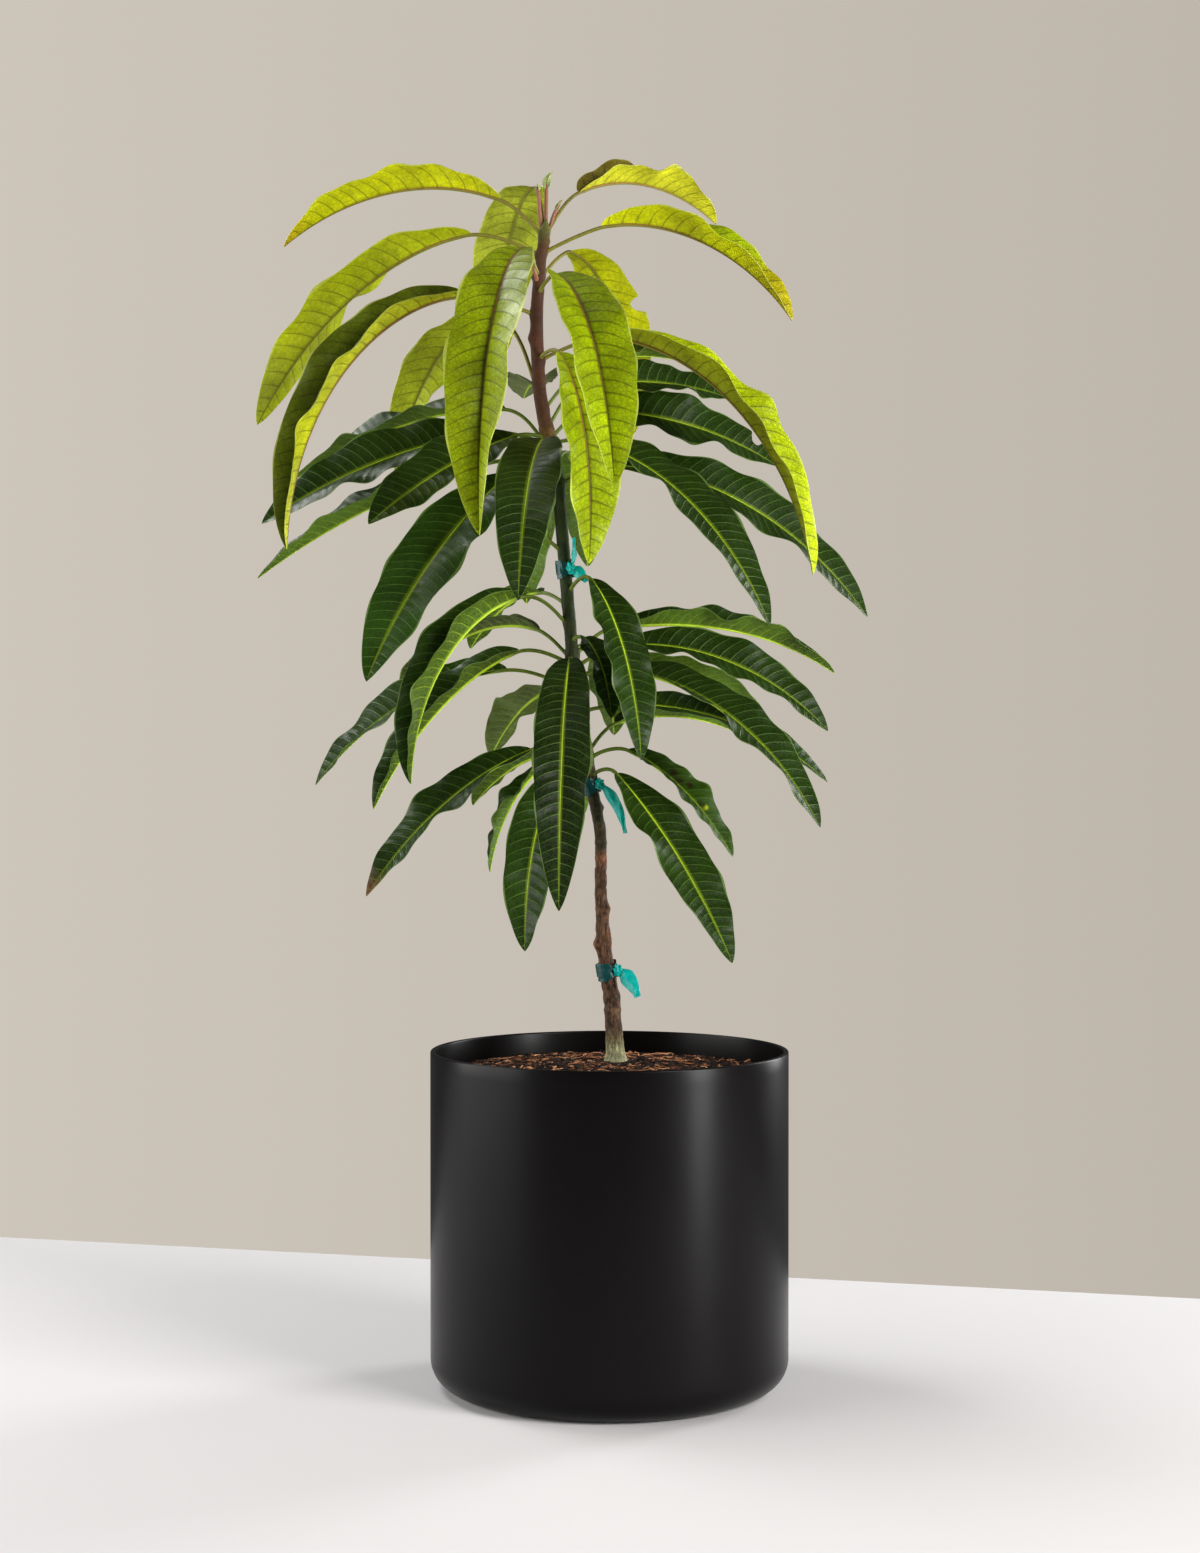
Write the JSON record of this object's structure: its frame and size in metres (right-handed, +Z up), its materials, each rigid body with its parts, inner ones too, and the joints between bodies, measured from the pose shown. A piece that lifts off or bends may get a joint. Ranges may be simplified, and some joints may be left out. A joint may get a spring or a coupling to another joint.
{
  "type": "mango tree sapling in a nursery pot",
  "caption": "Young single-stemmed mango tree with long drooping leaves in four flushes, staying upright in a round black nursery pot filled with bark soil.",
  "frame": {"origin": "middle of the pot's flat underside", "axes": "+Z up along the stem, +X to the right and +Y to the back, as seen from the front"},
  "size_m": [0.4864, 0.3512, 0.9733],
  "materials": {
    "young_leaf": "satin young leaf, lime green",
    "grown_leaf": "glossy grown leaf, dark green",
    "bark": "rough bark, green in the middle",
    "pot": "matte black",
    "soil": "moist bark and fibre mix",
    "tape": "soft satin tape"
  },
  "bodies": {
    "root": {"lower_leaf_1": "grown_leaf", "lower_leaf_2": "grown_leaf", "lower_leaf_3": "grown_leaf", "lower_leaf_4": "grown_leaf", "lower_leaf_5": "grown_leaf", "lower_leaf_6": "grown_leaf", "lower_leaf_7": "grown_leaf", "lower_leaf_8": "grown_leaf", "middle_leaf_1": "grown_leaf", "middle_leaf_10": "grown_leaf", "middle_leaf_11": "grown_leaf", "middle_leaf_12": "grown_leaf", "middle_leaf_13": "grown_leaf", "middle_leaf_14": "grown_leaf", "middle_leaf_15": "grown_leaf", "middle_leaf_16": "grown_leaf", "middle_leaf_2": "grown_leaf", "middle_leaf_3": "grown_leaf", "middle_leaf_4": "grown_leaf", "middle_leaf_5": "grown_leaf", "middle_leaf_6": "grown_leaf", "middle_leaf_7": "grown_leaf", "middle_leaf_8": "grown_leaf", "middle_leaf_9": "grown_leaf", "pot": "pot", "soil": "soil", "stem": "bark", "tie_bottom": "tape", "tie_middle": "tape", "tie_top": "tape", "top_leaf_1": "young_leaf", "top_leaf_10": "young_leaf", "top_leaf_11": "young_leaf", "top_leaf_12": "young_leaf", "top_leaf_2": "young_leaf", "top_leaf_3": "young_leaf", "top_leaf_4": "young_leaf", "top_leaf_5": "young_leaf", "top_leaf_6": "young_leaf", "top_leaf_7": "young_leaf", "top_leaf_8": "young_leaf", "top_leaf_9": "young_leaf", "upper_leaf_1": "grown_leaf", "upper_leaf_10": "grown_leaf", "upper_leaf_11": "grown_leaf", "upper_leaf_12": "grown_leaf", "upper_leaf_13": "grown_leaf", "upper_leaf_14": "grown_leaf", "upper_leaf_2": "grown_leaf", "upper_leaf_3": "grown_leaf", "upper_leaf_4": "grown_leaf", "upper_leaf_5": "grown_leaf", "upper_leaf_6": "grown_leaf", "upper_leaf_7": "grown_leaf", "upper_leaf_8": "grown_leaf", "upper_leaf_9": "grown_leaf"}
  },
  "joints": []
}
